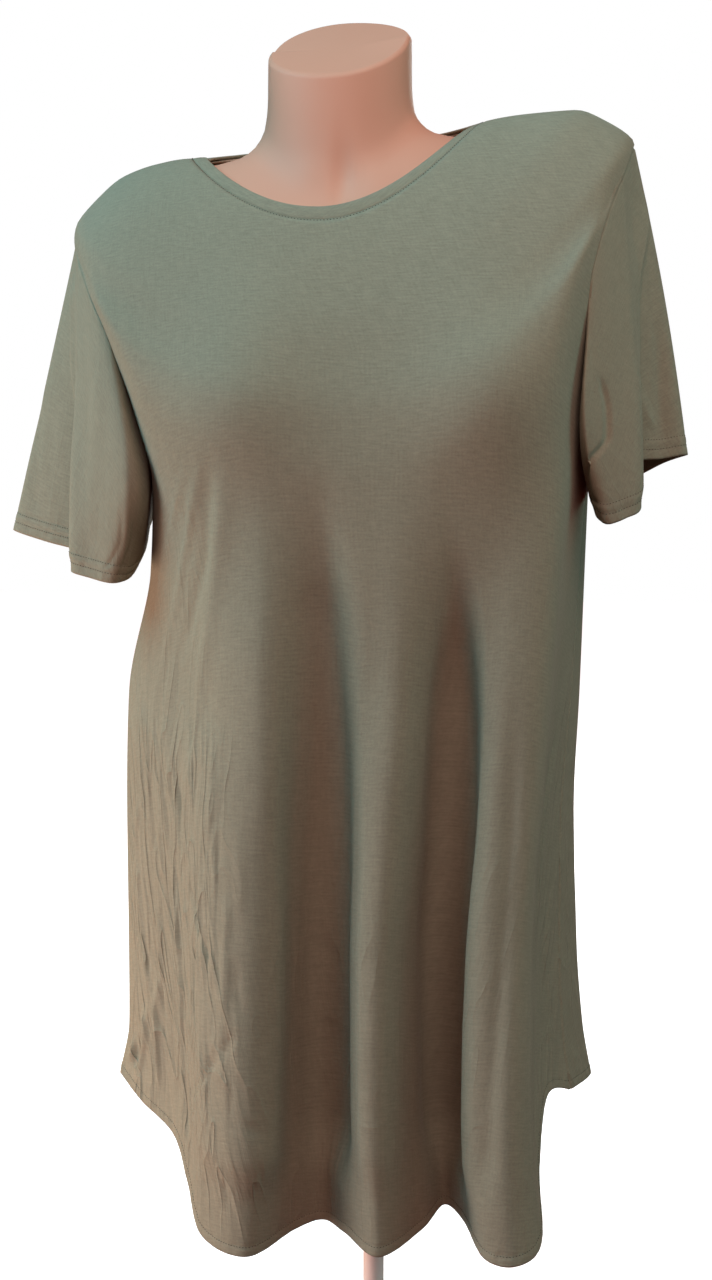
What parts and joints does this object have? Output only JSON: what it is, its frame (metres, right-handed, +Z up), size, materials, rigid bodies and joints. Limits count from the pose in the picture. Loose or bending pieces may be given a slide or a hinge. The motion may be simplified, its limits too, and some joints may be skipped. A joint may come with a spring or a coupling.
{
  "type": "t-shirt on a dress form",
  "caption": "Long jersey t-shirt with short sleeves, round neck and curved hem, worn on a limbless torso form with a slanting neck cut, on a pole stand with a round base",
  "frame": {"origin": "under the middle of the stand's round base, on the surface that it stands on", "axes": "+Z is up, the front of the shirt faces -Y, and +X is the viewer's right"},
  "size_m": [0.525, 0.3122, 1.1224],
  "materials": {
    "khaki_jersey": "fine viscose jersey with a soft sheen",
    "khaki_neckband": "fine viscose jersey, doubled",
    "pale_tape": "thin plain cotton tape",
    "form_plastic": "satin moulded plastic",
    "white_steel": "satin powder coat"
  },
  "bodies": {
    "root": {"front": "khaki_jersey", "back": "khaki_jersey", "sleeve_left": "khaki_jersey", "sleeve_right": "khaki_jersey", "neckband": "khaki_neckband", "neck_loop": "khaki_neckband", "neck_tape": "pale_tape", "dress_form": "form_plastic", "stand_flange": "white_steel", "stand_pole": "white_steel", "stand_base": "white_steel"}
  },
  "joints": []
}
